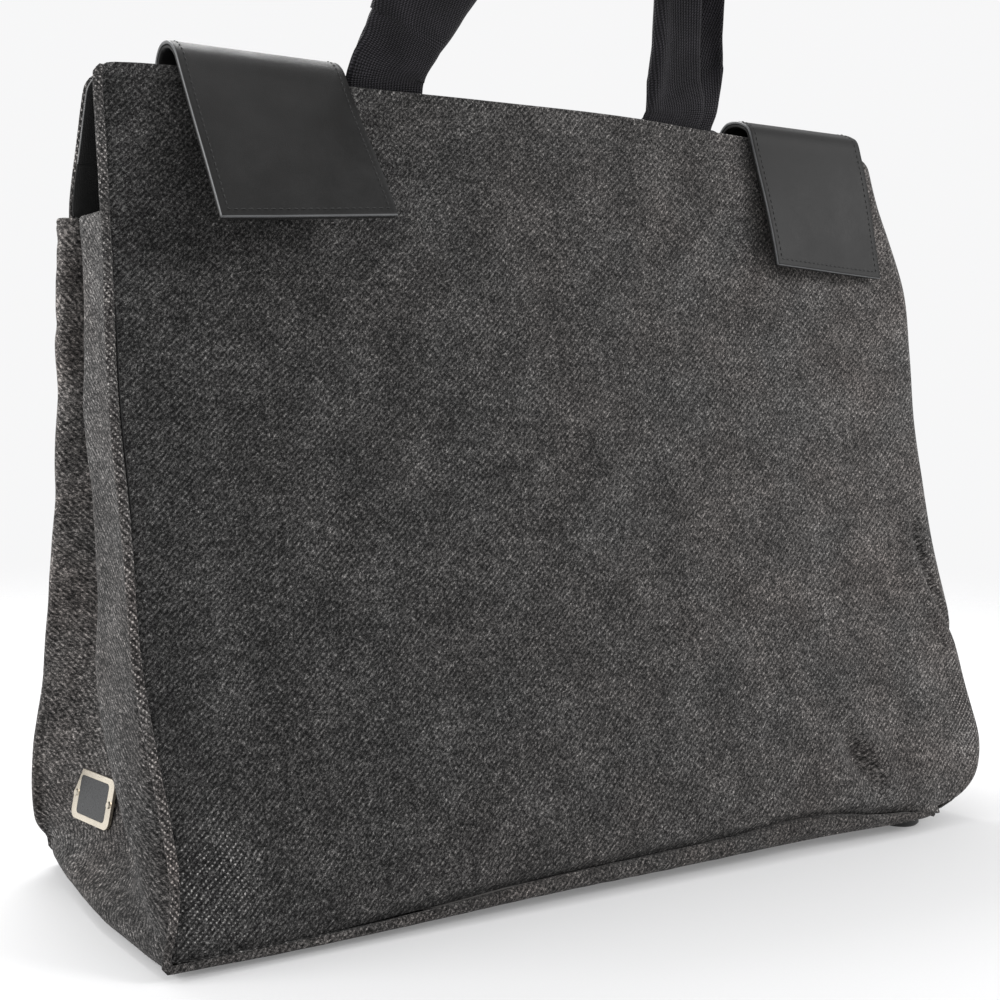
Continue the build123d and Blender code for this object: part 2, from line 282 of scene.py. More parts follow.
def add_tube(name, path, radius, material, sides=12, wear=None, squash=1.0, up=(0, 0, 1.0)):
    """A round tube along a path, closed at both ends with low cones."""
    path = np.asarray(path, float)
    count = len(path)
    radius = np.broadcast_to(np.asarray(radius, float), (count,))
    along = unit(np.gradient(path, axis=0))
    side = unit(np.cross(along, up))
    other = np.cross(side, along)
    run = run_along(path)
    turn = np.linspace(0, 2 * pi, sides, endpoint=False)
    points, cloth = [], []
    for k in range(count):
        around = np.cos(turn)[:, None] * side[k] + squash * np.sin(turn)[:, None] * other[k]
        points.append(path[k] + radius[k] * around)
        cloth.append(stack(run[k], turn * radius[k], 0.0))
    faces = ring_faces(count, sides)
    total = count * sides
    caps = [path[0] - along[0] * radius[0] * 0.6, path[-1] + along[-1] * radius[-1] * 0.6]
    for s in range(sides):
        n = (s + 1) % sides
        faces.append((total, n, s))
        faces.append((total + 1, (count - 1) * sides + s, (count - 1) * sides + n))
    points = np.vstack(points + [np.array(caps)])
    cloth = np.vstack(cloth + [np.zeros((2, 3))]) * MM
    worn = None if wear is None else np.concatenate([np.repeat(wear, sides), [wear[0], wear[-1]]])
    return add_piece(name, points, faces, material, cloth, worn)


# ---- node materials ----
class Nodes:
    """A short way to write a node tree."""

    def __init__(self, name):
        self.material = bpy.data.materials.new(name)
        self.material.use_nodes = True
        self.tree = self.material.node_tree
        self.tree.nodes.clear()
        self.output = self.node("OutputMaterial")
        self.shader = self.node("BsdfPrincipled")
        self.tree.links.new(self.shader.outputs[0], self.output.inputs["Surface"])

    def link(self, value, socket):
        if isinstance(value, bpy.types.NodeSocket):
            self.tree.links.new(value, socket)
        else:
            socket.default_value = value

    def node(self, kind, inputs=None, **settings):
        made = self.tree.nodes.new("ShaderNode" + kind)
        for key, value in settings.items():
            setattr(made, key, value)
        self.fill(made, inputs or {})
        return made

    def fill(self, node, inputs):
        for key, value in inputs.items():
            self.link(value, node.inputs[key])

    def attribute(self, name, output="Vector"):
        return self.node("Attribute", attribute_name=name).outputs[output]

    def mapped(self, vector, scale=(1, 1, 1), turn=0.0, place=(0, 0, 0)):
        inputs = {"Vector": vector, "Scale": scale, "Location": place,
                  "Rotation": (0, 0, radians(turn))}
        return self.node("Mapping", inputs).outputs[0]

    def noise(self, vector, scale, detail=2.0, rough=0.5):
        inputs = {"Vector": vector, "Scale": scale, "Detail": detail, "Roughness": rough}
        return self.node("TexNoise", inputs).outputs["Fac"]

    def wave(self, vector, scale, distortion=0.0, detail_scale=1.0, direction="X"):
        inputs = {"Vector": vector, "Scale": scale, "Distortion": distortion, "Detail Scale": detail_scale}
        return self.node("TexWave", inputs, bands_direction=direction).outputs["Fac"]

    def math(self, operation, a, b):
        return self.node("Math", {0: a, 1: b}, operation=operation).outputs[0]

    def add(self, first, *others):
        for other in others:
            first = self.math("ADD", first, other)
        return first

    def times(self, a, b):
        return self.math("MULTIPLY", a, b)

    def span(self, value, low, high, to_low=0.0, to_high=1.0):
        inputs = {0: value, 1: low, 2: high, 3: to_low, 4: to_high}
        return self.node("MapRange", inputs).outputs[0]

    def ramp(self, value, *stops):
        node = self.node("ValToRGB", {0: value})
        marks = node.color_ramp.elements
        while len(marks) < len(stops):
            marks.new(0.5)
        for mark, (place, colour) in zip(marks, stops):
            mark.position = place
            mark.color = (*colour, 1)
        return node.outputs[0]

    def tinted(self, share, colour, tint):
        inputs = {0: share, 6: colour, 7: (*tint, 1)}
        return self.node("Mix", inputs, data_type="RGBA", blend_type="MULTIPLY").outputs[2]

    def bump(self, height, distance, strength=1.0):
        inputs = {"Height": height, "Distance": distance, "Strength": strength}
        return self.node("Bump", inputs).outputs[0]

    def finish(self, colour, roughness, normal=None, sheen=0.0, sheen_rough=0.5, metallic=0.0,
               specular=0.5):
        inputs = {"Base Color": colour, "Roughness": roughness, "Sheen Weight": sheen,
                  "Sheen Roughness": sheen_rough, "Metallic": metallic, "Specular IOR Level": specular}
        if normal is not None:
            inputs["Normal"] = normal
        self.fill(self.shader, inputs)
        return self.material


def srgb(level, warm=0.0):
    """A grey of that sRGB level, 0 to 255, in linear light; warm above 0 leans to brown."""
    def linear(c):
        c = max(0.0, min(1.0, c / 255))
        return c / 12.92 if c < 0.04045 else ((c + 0.055) / 1.055) ** 2.4
    return linear(level + warm), linear(level), linear(level - warm)


def flannel(name, lift=0.0, stretch=1.0, rise=0.0, painted_light_climb=0.0):
    """Napped wool flannel: dark melange with pale fibres over a twill that shows where it is worn.

    The pattern is drawn out along X where stretch is under 1.  Painted light: rise makes the cloth paler
    towards
    +X, and the last argument makes it paler towards +Y; both make it darker the other way."""
    n = Nodes(name)
    cloth = n.attribute("cloth")
    wear = n.attribute("wear", "Fac")
    nap = n.mapped(cloth, scale=(stretch, 1, 1))
    streaks = n.noise(n.mapped(n.mapped(nap, turn=40), scale=(1.0, 0.6, 1.0)), 1150, detail=3.0, rough=0.7)
    fibres = n.noise(nap, 2300, rough=0.7)
    lumps = n.noise(nap, 260, detail=3.0, rough=0.65)
    clouds = n.noise(cloth, 42, detail=3.0)
    tints = n.noise(n.mapped(cloth, place=(3.1, 1.7, 0.4)), 20, detail=3.0)
    flow = n.span(n.noise(cloth, 45, detail=1.0), 0, 1, -0.0015, 0.0015)
    shift = n.node("CombineXYZ", {0: flow}).outputs[0]
    bent = n.node("VectorMath", {0: n.mapped(cloth, turn=46), 1: shift}, operation="ADD").outputs[0]
    twill = n.wave(bent, 138, distortion=0.6, detail_scale=2.0)
    beads = n.wave(bent, 200, distortion=0.8, detail_scale=2.0, direction="Y")
    dots = n.times(n.span(twill, 0.5, 0.95), n.span(beads, 0.3, 0.9))
    along = n.node("SeparateXYZ", {0: cloth}).outputs
    patchy = n.times(wear, n.span(n.noise(cloth, 330), 0.35, 0.6, 0.35, 1.0))
    # painted light: the along[0] and along[1] terms make the cloth paler towards +X and +Y, darker towards
    # -X and -Y
    tone = n.add(n.span(streaks, 0.34, 0.66, 0.02, 0.66), n.span(fibres, 0.3, 0.7, -0.24, 0.24),
                 n.span(lumps, 0.3, 0.7, -0.15, 0.15), n.span(clouds, 0.3, 0.7, -0.07, 0.07),
                 n.span(twill, 0, 1, -0.07, 0.07), n.span(along[0], -0.22, 0.22, lift - rise, lift + rise),
                 n.span(along[1], 0.0, 0.3, -painted_light_climb, painted_light_climb), n.times(n.times(dots, patchy), 0.85))
    colour = n.ramp(tone, (0.0, srgb(15)), (0.25, srgb(37, 0.2)), (0.45, srgb(61, 0.5)),
                    (0.7, srgb(99, 1.0)), (1.0, srgb(172, 2.5)))
    warmth = n.times(n.span(along[0], -0.25, 0.25, 0.0, 0.65), n.span(tints, 0.35, 0.65, 0.2, 1.0))
    colour = n.tinted(warmth, colour, (1.13, 1.0, 0.95))
    height = n.add(n.times(streaks, 0.5), n.times(fibres, 0.6), n.times(dots, n.span(wear, 0, 1, 0.15, 0.8)))
    return n.finish(colour, 0.95, n.bump(height, 0.0005, 0.8), sheen=0.05, specular=0.08)


def black_cloth(name, level):
    """Plain dark lining with a fine weave."""
    n = Nodes(name)
    cloth = n.attribute("cloth")
    weave = n.times(n.wave(cloth, 420), n.wave(cloth, 420, direction="Y"))
    tone = n.add(n.span(weave, 0, 1, 0.1, 0.5), n.span(n.noise(cloth, 60), 0.3, 0.7, 0, 0.5))
    colour = n.ramp(tone, (0.0, srgb(level * 0.6)), (1.0, srgb(level * 1.5)))
    return n.finish(colour, 0.75, n.bump(weave, 0.0002, 0.5), sheen=0.1, specular=0.25)


def webbing_material(name):
    """Nylon webbing: fine ribs along and across the strap, darker in the troughs: painted shade over the
    weave's own tone.
    """
    n = Nodes(name)
    cloth = n.attribute("cloth")
    lengthwise = n.wave(cloth, 210, distortion=0.5, detail_scale=1.5, direction="Y")
    crosswise = n.wave(cloth, 400, distortion=0.4, detail_scale=3.0)
    slanted = n.wave(n.mapped(cloth, turn=38), 300, distortion=0.6, detail_scale=3.0)
    rib = n.add(n.times(lengthwise, 0.40), n.times(crosswise, 0.34), n.times(slanted, 0.26))
    tone = n.add(rib, n.span(n.noise(cloth, 55, detail=3.0), 0.3, 0.7, -0.12, 0.12))
    # the ramp darkens low rib values: painted shade in the troughs, over the weave's own tone
    colour = n.ramp(tone, (0.15, (0.0010, 0.0009, 0.0016)), (0.55, (0.0046, 0.0040, 0.0062)),
                    (1.0, (0.044, 0.040, 0.048)))
    return n.finish(colour, n.span(rib, 0, 1, 0.78, 0.55), n.bump(rib, 0.0009), sheen=0.03,
                    sheen_rough=0.4, specular=0.22)


def leather(name, level):
    """Smooth calf leather: very fine grain and faint mottling."""
    n = Nodes(name)
    cloth = n.attribute("cloth")
    grain = n.node("TexVoronoi", {"Vector": cloth, "Scale": 1500}, feature="DISTANCE_TO_EDGE")
    fine = n.noise(cloth, 3200)
    mottle = n.noise(cloth, 70, detail=4.0, rough=0.6)
    tone = n.add(n.span(mottle, 0.3, 0.7, -0.25, 0.25), n.span(n.noise(cloth, 18), 0.3, 0.7, 0.3, 0.7),
                 n.span(fine, 0.3, 0.7, -0.1, 0.1))
    colour = n.ramp(tone, (0.0, srgb(level - 6, 0.5)), (0.5, srgb(level, 0.2)), (1.0, srgb(level + 8, 0.2)))
    height = n.add(n.times(n.span(grain.outputs["Distance"], 0.0, 0.25), 0.5), n.times(fine, 0.4))
    rough = n.span(mottle, 0.3, 0.7, 0.42, 0.52)
    return n.finish(colour, rough, n.bump(height, 0.00012, 0.5), specular=0.17)


def plain(name, colour, roughness, metallic=0.0, grain=2500, depth=0.00005):
    """A moulded or metal finish with fine handling marks."""
    n = Nodes(name)
    place = n.node("TexCoord").outputs["Object"]
    marks = n.noise(place, grain, detail=3.0)
    smears = n.noise(place, 90, detail=3.0)
    dark = tuple(c * 0.86 for c in colour)
    light = tuple(min(1.0, c * 1.1) for c in colour)
    shade = n.ramp(smears, (0.3, dark), (0.7, light))
    rough = n.span(marks, 0.3, 0.7, roughness * 0.85, roughness * 1.2)
    return n.finish(shade, rough, n.bump(marks, depth, 0.4), metallic=metallic)


# Painted light: rise makes each flannel paler along +X of its cloth (to the right on the panels, towards the
# back seam on the gussets); the gusset flannel is a lit copy of the same cloth, with a larger lift, and is
# also paler towards the top
FLANNEL = flannel("flannel", lift=0.035, rise=0.085)
FLANNEL_SIDE = flannel("flannel_gusset", lift=0.06, stretch=0.6, rise=0.11, painted_light_climb=0.06)
PIPING = flannel("flannel_piping", lift=0.04)
LINING = black_cloth("lining_cloth", level=17)
FACING = black_cloth("facing_cloth", level=14)
BINDING = black_cloth("facing_binding", level=96)
WEBBING = webbing_material("nylon_webbing")
LEATHER = leather("calf_leather", 29)
LEATHER_BACK = leather("leather_lining", 26)
LEATHER_EDGE = plain("burnished_edge", srgb(84, -1), 0.30, grain=1800, depth=0.00003)
THREAD = plain("leather_thread", srgb(26), 0.7, grain=4000)
STEEL = plain("nickel_plate", (0.62, 0.60, 0.56), 0.28, metallic=1.0)
PLAQUE_METAL = plain("plaque_metal", (0.66, 0.60, 0.50), 0.30, metallic=1.0)
ENAMEL = plain("black_enamel", srgb(30, -1), 0.25, grain=900, depth=0.00002)
FOOT = plain("moulded_foot", srgb(24), 0.45)
BOARD = plain("grey_board", srgb(96, 2), 0.85, grain=700, depth=0.0002)


# ---- outlines of the two panels ----
SIDES = {
    (-1, -1): through((3, -239.5), (12, -236.5), (24, -233.0), (38, -231.5), (58, -233), (88, -236.5),
                 (118, -239.5), (170, -239.8), (227, -241), (288, -238.5), (372, -236.5)),
    (-1, 1): through((3, 242.5), (20, 243.5), (40, 242), (78, 235), (107, 231.5), (150, 226), (187, 225),
                (218, 225), (256, 229), (293, 231.3), (320, 225.5), (340, 220), (372, 216)),
    (1, -1): through((3, -229), (30, -232), (55, -234.5), (85, -234), (125, -233), (165, -232),
                 (200, -233), (250, -234), (290, -236), (312, -237.8), (340, -236.2), (372, -234)),
    (1, 1): through((3, 229), (40, 231), (90, 228), (170, 224), (250, 226), (300, 228), (340, 222),
                (372, 218)),
}
TOP_LINE = through((-240, 368.5), (-228, 369.6), (-116, 371.6), (-40, 373.2), (50, 373.8),
                    (105, 371.6), (160, 370.2), (205, 368.9), (240, 368))
SEAM_LINE = through((-240, 5.0), (-170, 5.2), (-110, 7.0), (-51, 9.2), (7, 10.0), (60, 11.0),
                     (104, 12.6), (125, 12.4), (150, 10.8), (180, 9.5), (240, 9.5))
FOOT_ROLL = through((-240, 1.7), (-170, 1.9), (-110, 2.7), (-51, 3.7), (7, 4.3), (60, 4.7), (104, 5.3),
                     (125, 4.5), (150, 3.2), (180, 2.2), (240, 2.1))
CORNERS = {(-1, -1): 3.5, (-1, 1): 42.0, (1, -1): 8.0, (1, 1): 30.0}
TOP_CORNERS = {(-1, -1): 5.5, (-1, 1): 9.0, (1, -1): 9.0, (1, 1): 9.0}


def outer_y(z):
    """Distance of a panel's outer face from the middle plane."""
    return BASE_HALF - (z - FLOOR_GAP) * LEAN


def panel_out(side):
    """The direction that a panel's outer face looks in."""
    return np.array([0, side * LEAN_COS, LEAN_SIN])


def seam_height(side, x):
    """Height of the seam along a panel's foot."""
    return SEAM_LINE(x) if side < 0 else PANEL_FOOT + 0 * x


def between_seams(x, z, low, floor):
    """Heights moved so that low comes to the floor line and the panel's top to its top line."""
    z = z + (floor - low) * (1 - smooth((z - low) / 60))
    return z + (TOP_LINE(x) - TOP_Z) * smooth((z - 250) / 110)


def panel_edge(side, end, z):
    """Where a panel's side seam lies at height z, rounded in at the foot and at the top."""
    x = SIDES[side, end](z)
    foot = CORNERS[side, end]
    low = seam_height(side, end * 200.0)
    x = x - end * foot * rounding((z - low) / foot)
    head = TOP_CORNERS[side, end]
    return x - end * head * rounding((TOP_LINE(end * 225.0) - z) / head)


TUCK_IN = through((84, -2), (98, 2), (121, 11), (150, 16), (172, 17))


def belly(side, x, z):
    """How far a panel stands proud of its flat plane: a low crown, soft dents and slack ripples."""
    crown = 3.0 * hump((x + 30) / 190, (z - 170) / 120)
    ripple = 1.3 * waves(x, side * 40.0, z, 95, 1 + side) + 0.7 * waves(x, side * 40.0, z, 42, 3 + side)
    fade = smooth((235 - np.abs(x)) / 40) * smooth((z - 8) / 40) * smooth((372 - z) / 40)
    rise = (crown + ripple) * fade
    if side < 0:
        from_edge = panel_edge(side, 1, z) - x
        tuck = smooth((z - 84) / 16) * smooth((172 - z) / 22)
        crease = from_edge - TUCK_IN(z)
        slant = (x - 146 + (z - 40) * 0.64) / 1.187
        along = ((x - 146) * 0.64 - (z - 40)) / 1.187
        rise = (rise - 8.0 * rounding(from_edge / 10.0)
                - 4.6 * tuck * hump(crease / 3.0) + 1.8 * tuck * hump((crease - 8) / 6)
                - 6.6 * hump(slant / 6.2, along / 18) + 2.6 * hump((slant - 12) / 8, along / 24)
                + 1.6 * hump((slant + 14) / 9, along / 26) + 2.0 * hump((x + 60) / 120, (z - 30) / 18))
    return rise


def panel_grid(side, depth, margin, low, high, rows, cols):
    """A grid over a panel, depth behind its outer face, and its place on the flat cloth.

    It stops short of each side seam by margin(side, end, height)."""
    v = np.linspace(0, 1, rows)[:, None]
    v = v + 0.5 * np.sin(2 * np.pi * v) * -0.12
    u = np.linspace(0, 1, cols)[None, :]
    u = u - np.sin(2 * np.pi * u) * 0.05
    z_row = low + (high - low) * v
    left = panel_edge(side, -1, z_row) + margin(side, -1, z_row)
    right = panel_edge(side, 1, z_row) - margin(side, 1, z_row)
    x = left + (right - left) * u
    z = z_row + np.zeros_like(x)
    if low > PANEL_FOOT:
        floor = low
    elif side < 0:
        floor = SEAM_LINE(x) + (FOOT_ROLL(x) + 0.5) * (1 - smooth((x - 176) / 26))
    else:
        floor = 8.9
    z = between_seams(x, z, low, floor)
    y = outer_y(z) + belly(side, x, z)
    outward = panel_out(side)
    return stack(x, side * y, z) - outward * depth, stack(x, (z - FLOOR_GAP) / LEAN_COS), outward


def seam_wear(x, z, side):
    """Where the nap is rubbed off the flannel: along the seams, the foot and the lower corners."""
    left = panel_edge(side, -1, z)
    right = panel_edge(side, 1, z)
    near = np.minimum(x - left, right - x)
    wear = 0.35 * np.exp(-near / 3.0) + 0.5 * np.exp(-(TOP_LINE(x) - z) / 1.6)
    corner_l = hump((x + 214) / 20, (z - 34) / 24)
    corner_r = hump((x - 226) / 12, (z - 60) / 26)
    rough = 0.6 + 0.4 * waves(x, side * 20.0, z, 14, 7)
    return np.clip(wear + (1.0 * corner_l + 0.75 * corner_r) * rough + 0.05, 0, 1)


def shell_margin(side, end, z):
    """The outer cloth stops at the piping, but rolls over it down the front's right side."""
    if side < 0 < end:
        return 0.8 + 2.6 * (1 - smooth((z - 10) / 20))
    return 3.4 - 2.2 * smooth((z - TOP_Z + 9) / 7)


def facing_margin(side, end, z):
    return 1.4 if side > 0 else 3.4


def lining_margin(side, end, z):
    """The lining stops short of the gussets, and reaches the side seams above them."""
    return 16.0 - (16.0 - facing_margin(side, end, z)) * smooth((z - GUSSET_TOP - 1) / 3)


def make_panels():
    rim_rows, rim_cols = 24, 90
    for side, face in FACES:
        grid, cloth, outward = panel_grid(side, 0.0, shell_margin, PANEL_FOOT, TOP_Z - 0.8, 150, 190)
        x, z = grid[..., 0], grid[..., 2]
        left = x - panel_edge(side, -1, z)
        right = panel_edge(side, 1, z) - x
        foot = z - (SEAM_LINE(x) + FOOT_ROLL(x) - 2.9 if side < 0 else PANEL_FOOT)
        near = np.minimum(np.minimum(left, right + (40 if side < 0 else 0)), foot)
        sunk = 1.5 * hump((near - 4.2) / 1.8) + 0.4 * hump((near - 8) / 5)
        if side < 0:
            groove = (0.3 + 0.7 * smooth((x + 200) / 150)) * smooth((190 - x) / 20)
            grid = grid - outward * (3.6 * groove * hump((foot - 3.2) / 2.6))[..., None]
        grid = grid - outward * sunk[..., None]
        bag_sheet(face + "_panel", grid, SHELL_T - sunk, ("flannel", FLANNEL), cloth, -outward,
                  seam_wear(x, z, side))
        deep = SHELL_T + 0.6
        grid, cloth, outward = panel_grid(side, deep, facing_margin, TOP_Z - 40, TOP_Z - 2.5,
                                          rim_rows, rim_cols)
        facing = bag_sheet(face + "_facing", grid, 1.0, ("facing", FACING), cloth, -outward,
                           kind="_band")
        colour_rim(facing, rim_rows, rim_cols, BINDING, low_edge=False)
        grid, cloth, outward = panel_grid(side, deep, lining_margin, 26.0, TOP_Z - 40.4, 90, 80)
        bag_sheet(face + "_lining", grid, 0.8, ("lining", LINING), cloth, -outward)


def seam_path(side):
    """The piping's centre line: down one side of the panel, along its foot and up the other side."""
    low = PANEL_FOOT
    rows = low + (TOP_Z - 2.8 - low) * np.linspace(1, 0, 150) ** 1.15
    lines = []
    for end, order in ((-1, rows), (1, rows[::-1])):
        x = panel_edge(side, end, order) - end * PIPING_R
        lines.append(stack(x, between_seams(x, order, low, seam_height(side, x))))
    foot_x = np.linspace(lines[0][-1, 0], lines[1][0, 0], 160)[1:-1]
    foot_line = stack(foot_x, seam_height(side, foot_x))
    x, z = evenly(np.vstack([lines[0], foot_line, lines[1]]), 620).T
    foot = 1 - smooth((z - 12) / 16)
    radius = PIPING_R * (1 - 0.6 * smooth((z - TOP_Z + 9) / 7))
    if side < 0:
        radius = radius + (FOOT_ROLL(x) - PIPING_R) * foot
        hidden = smooth((x - 182) / 26)
    else:
        radius = radius * (1 - 0.35 * smooth((z - GUSSET_TOP + 10) / 10))
        hidden = 0.0
    y = side * (outer_y(z) + belly(side, x, z) - 0.6 - (radius - PIPING_R) - 6.5 * hidden)
    return stack(x - 2.0 * hidden, y, z), radius


def make_piping():
    for side, face in FACES:
        path, radius = seam_path(side)
        x, y, z = path.T
        foot = 1 - smooth((z - 12) / 16)
        radius = radius * (1 + 0.06 * waves(x, y, z, 9, 5) + 0.05 * waves(x, y, z, 31, 8))
        rubbed = 0.55 + 0.6 * waves(x, y, z, 16, 6)
        wear = np.clip(rubbed * (1 - 0.9 * foot) * (1 - 0.8 * smooth(x / 50)), 0, 1)
        piping = add_tube(face + "_piping_roll", path, radius, PIPING, 14, wear, up=panel_out(side))
        settle(piping, "bag", "piping", face + "_piping")


# ---- side gussets ----
FOLD_NOSE = through((3, -78), (33, -61), (58, -48), (83, -28), (110, -15), (150, -12), (185, -4),
                     (220, 5), (258, 7), (305, 12))
VALLEY_Y = through((3, -12), (60, -4), (180, 6), (305, 19))
VALLEY_IN = through((3, 3), (30, 9), (66, 26), (110, 38), (180, 46), (305, 66))
NOSE_OUT = through((3, 7), (30, 9), (60, 12), (90, 12), (130, 10), (305, 8))
BACK_BULGE = through((3, 231), (14, 236), (30, 239.5), (55, 241.5), (85, 239.5), (105, 239), (150, 238),
                      (180, 237.5), (205, 239.5), (232, 238.8), (246, 240.6), (262, 242), (285, 242.5),
                      (305, 242.3))


def gusset_section(end, z, count):
    """A level section of a gusset from the front seam to the back seam, as (x, y) points."""
    front = abs(panel_edge(-1, end, z)) - 2.6
    back = abs(panel_edge(1, end, z)) - 2.6
    reach = outer_y(z) - 1.6
    flat = HALF_W - 4.0
    nose_y = FOLD_NOSE(z)
    nose = flat + NOSE_OUT(z) - (0 if end < 0 else 8)
    bulge = BACK_BULGE(z) - (0 if end < 0 else 10)
    valley = flat - VALLEY_IN(z)
    valley_y = VALLEY_Y(z)
    span = nose_y + reach
    pinch = 1.0 - smooth((z - 20) / 60)
    rest = reach - valley_y
    near = min(7.0, 0.45 * rest)
    start = 0.0 if end < 0 else min(8.0, 0.3 * span)
    line = spline([
        (front - 0.3 * start, -reach + start),
        (front + 0.6 * (nose - front), -reach + start + min(4.0, 0.18 * span)),
        (nose - 0.4, -reach + 0.5 * span),
        (nose, nose_y - 4.0),
        (nose - 2.6, nose_y + 0.8),
        (nose - 9.0 + 4 * pinch, nose_y + 4.0 + 8 * pinch),
        (0.45 * nose + 0.55 * valley, 0.5 * (nose_y + 4.0) + 0.5 * valley_y - 0.5),
        (valley, valley_y),
        (valley + 0.35 * (flat - valley), valley_y + 0.35 * rest),
        (valley + 0.66 * (flat - valley), valley_y + 0.66 * (rest - near * 0.6)),
        (bulge - 5.0, reach - near - 2.6),
        (bulge, reach - near + 1.0),
        (bulge - 0.8, reach - 0.3 * near),
        (back - 1.0, reach - 0.4),
    ], count)
    across = line[:, 1] / reach
    sweep = np.where(across > 0, 1 - across ** 4, np.clip(1 - across ** 2, 0, 1) ** 1.3)
    foot = front + (back - front) * (across + 1) / 2 + (9.0 if end < 0 else 1.5) * sweep
    shown = smooth((z - 4) / 24) if end < 0 else smooth((z - 8) / 50)
    line[:, 0] = foot + (line[:, 0] - foot) * shown
    line[:, 0] *= end
    return line


def gusset_grid(end, low, high, rows, cols, inset=0.0):
    levels = low + (high - low) * np.linspace(0, 1, rows)
    lines = np.array([gusset_section(end, z, cols) for z in levels])
    grid = stack(lines[..., 0], lines[..., 1], levels[:, None])
    cloth = stack([run_along(line) for line in lines], levels[:, None])
    share = np.linspace(0, 1, cols)[None, :]
    hold = smooth(share / 0.08) * smooth((1 - share) / 0.06)
    out = grid_normals(grid)
    out = out * end * np.sign(out[rows // 2, cols // 4, 0])
    y, z = grid[..., 1], grid[..., 2]
    buckle = 1.3 * waves(y * 0.7, end * 30.0, z, 48, 9) + 0.5 * waves(y, end * 30.0, z, 19, 11)
    creases = -0.9 * hump((z - 252 - 0.25 * y) / 5) * smooth((share - 0.7) / 0.15)
    creases = creases + 1.3 * hump((z - 12) / 2.8) - 0.7 * hump((z - 17) / 3)
    calm = 1 - 0.96 * hump((z - 43) / 30) * smooth((y + 5) / 12)
    grid = grid + out * ((buckle * calm + creases) * hold)[..., None]
    return grid - out * inset, cloth, out


def make_gussets():
    for end, name in ENDS:
        low = 3.6 if end < 0 else 6.5
        grid, cloth, out = gusset_grid(end, low, GUSSET_TOP - 0.5, 170, 150)
        z = grid[..., 2]
        wear = 0.10 + 0.3 * np.exp(-(GUSSET_TOP - z) / 2.5) + 0.15 * np.exp(-(z - low) / 8)
        bag_sheet(name + "_gusset", grid, 2.2, ("flannel", FLANNEL_SIDE), cloth, -out, wear)
        grid, cloth, out = gusset_grid(end, low + 8, GUSSET_TOP - 3, 90, 120, inset=2.5)
        bag_sheet(name + "_gusset_lining", grid, 0.6, ("lining", LINING), cloth, -out)
        line = gusset_section(end, GUSSET_TOP - 2.0, 140)[3:-4]
        path = stack(*line.T, GUSSET_TOP - 1.5)
        middle = grid_normals(np.stack([path, path + [0, 0, 1.0]]))[0]
        flip = np.sign(middle[len(line) // 4, 0]) * end
        path = path - middle * flip * 1.5
        wear = np.clip(0.35 + 0.3 * waves(*path.T, 12, 4), 0, 1)
        hem = add_tube(name + "_gusset_hem_roll", path, 1.5, FLANNEL_SIDE, 12, wear, squash=1.25)
        settle(hem, "bag", "hem", name + "_gusset_hem")


# ---- bottom ----
def make_bottom():
    rows, cols = 60, 150
    share = np.linspace(0, 1, rows)[:, None]
    across = np.linspace(-1, 1, cols)[None, :]
    reach = BASE_HALF - 1.8
    y = -reach + 2 * reach * share + 0 * across
    ends = []
    for end, corner in ((-1, 3.0), (1, 16.0)):
        line = gusset_section(end, 5.0, 200)
        order = np.argsort(line[:, 1])
        inset = 2.4 + corner * rounding((reach - np.abs(y[:, :1])) / corner)
        ends.append(np.interp(y[:, :1], line[order, 1], line[order, 0]) - end * inset)
    left, right = ends
    x = left + (right - left) * (across + 1) / 2
    behind = smooth(share * 2)
    seam = SEAM_LINE(x) * (1 - behind) + 6.0 * behind
    drop_y = 1 - rounding((reach - np.abs(y)) / 14)
    drop_x = 1 - rounding(np.minimum(x - left, right - x) / 12)
    drop = drop_x * drop_y
    z = 3.7 + (seam - 4.2) * (1 - drop_y) + (1 - drop_x) * np.where(across > 0, 3.4, 0.4) * drop_y
    z = z + 0.5 * waves(x, y, 0.0, 60, 12) * drop
    wear = 0.25 + 0.3 * (1 - drop)
    up = np.array([0, 0, 1.0])
    bag_sheet("bottom_panel", stack(x, y, z), SHELL_T, ("flannel", FLANNEL_SIDE), stack(x, y), up,
              wear)
    low, high = box_mm("bottom_lining")
    x, y = np.meshgrid(np.linspace(low[0], high[0], 90), np.linspace(low[1], high[1], 40))
    z = high[2] + 0.4 * waves(x, y, 0.0, 40, 14) + 0.3
    bag_sheet("bottom_lining", stack(x, y, z), 0.8, ("lining", LINING), stack(x, y), -up)


# ---- handles ----
STRAP_LEAN = radians(23.0)
CANT = radians(14.0)
LEG_RISE = 185.0
ARCH_X = STRAP_X - LEG_RISE * tan(CANT)
ARCH_R = ARCH_X / cos(CANT)
ARCH_STEPS = 60
ARCH_UP = LEG_RISE - ARCH_R * sin(CANT)
TWIST_START = 34.0
TWIST_END = 178.0
STUB = 12.0
SEWN = 46.0
SEWN_JOIN = 14.0
WEB_T = 1.5
FLAT_WEB = [(12, -1.7), (5, -1.7), (-5, -1.7), (-11, -1.7), (-16, -1.7), (-19.5, -1.6), (-20.8, -0.8),
            (-19, 0), (-10, 0), (0, 0), (10, 0), (17, 0), (20.8, 0)]
ROLLED_WEB = [(7.5, -2.4), (2, -1.7), (-5, -1.4), (-11.5, -1.9), (-15.2, -4.6), (-19.2, -5.4),
              (-21.9, -2.4), (-18.8, 1.3), (-10, 3.0), (0, 3.7), (10, 3.0), (17.5, 1.2), (21.6, -2.6)]
SPREAD = {
    -1: through((0, 0.95), (7, 0.92), (13, 0.94), (22, 1.02), (42, 1.10), (90, 1.04), (185, 1.0)),
    1: through((0, 1.10), (15, 1.08), (30, 1.0), (55, 0.86), (90, 0.88), (185, 1.0)),
}
SHIFT = {-1: through((0, -5.5), (27, -2), (70, 0), (185, -4)),
         1: through((0, -12), (50, -12.5), (120, -10), (185, -8))}


def strap_up(side):
    """The way that a standing strap runs where it leaves the mouth."""
    return np.array([0, side * sin(STRAP_LEAN), cos(STRAP_LEAN)])


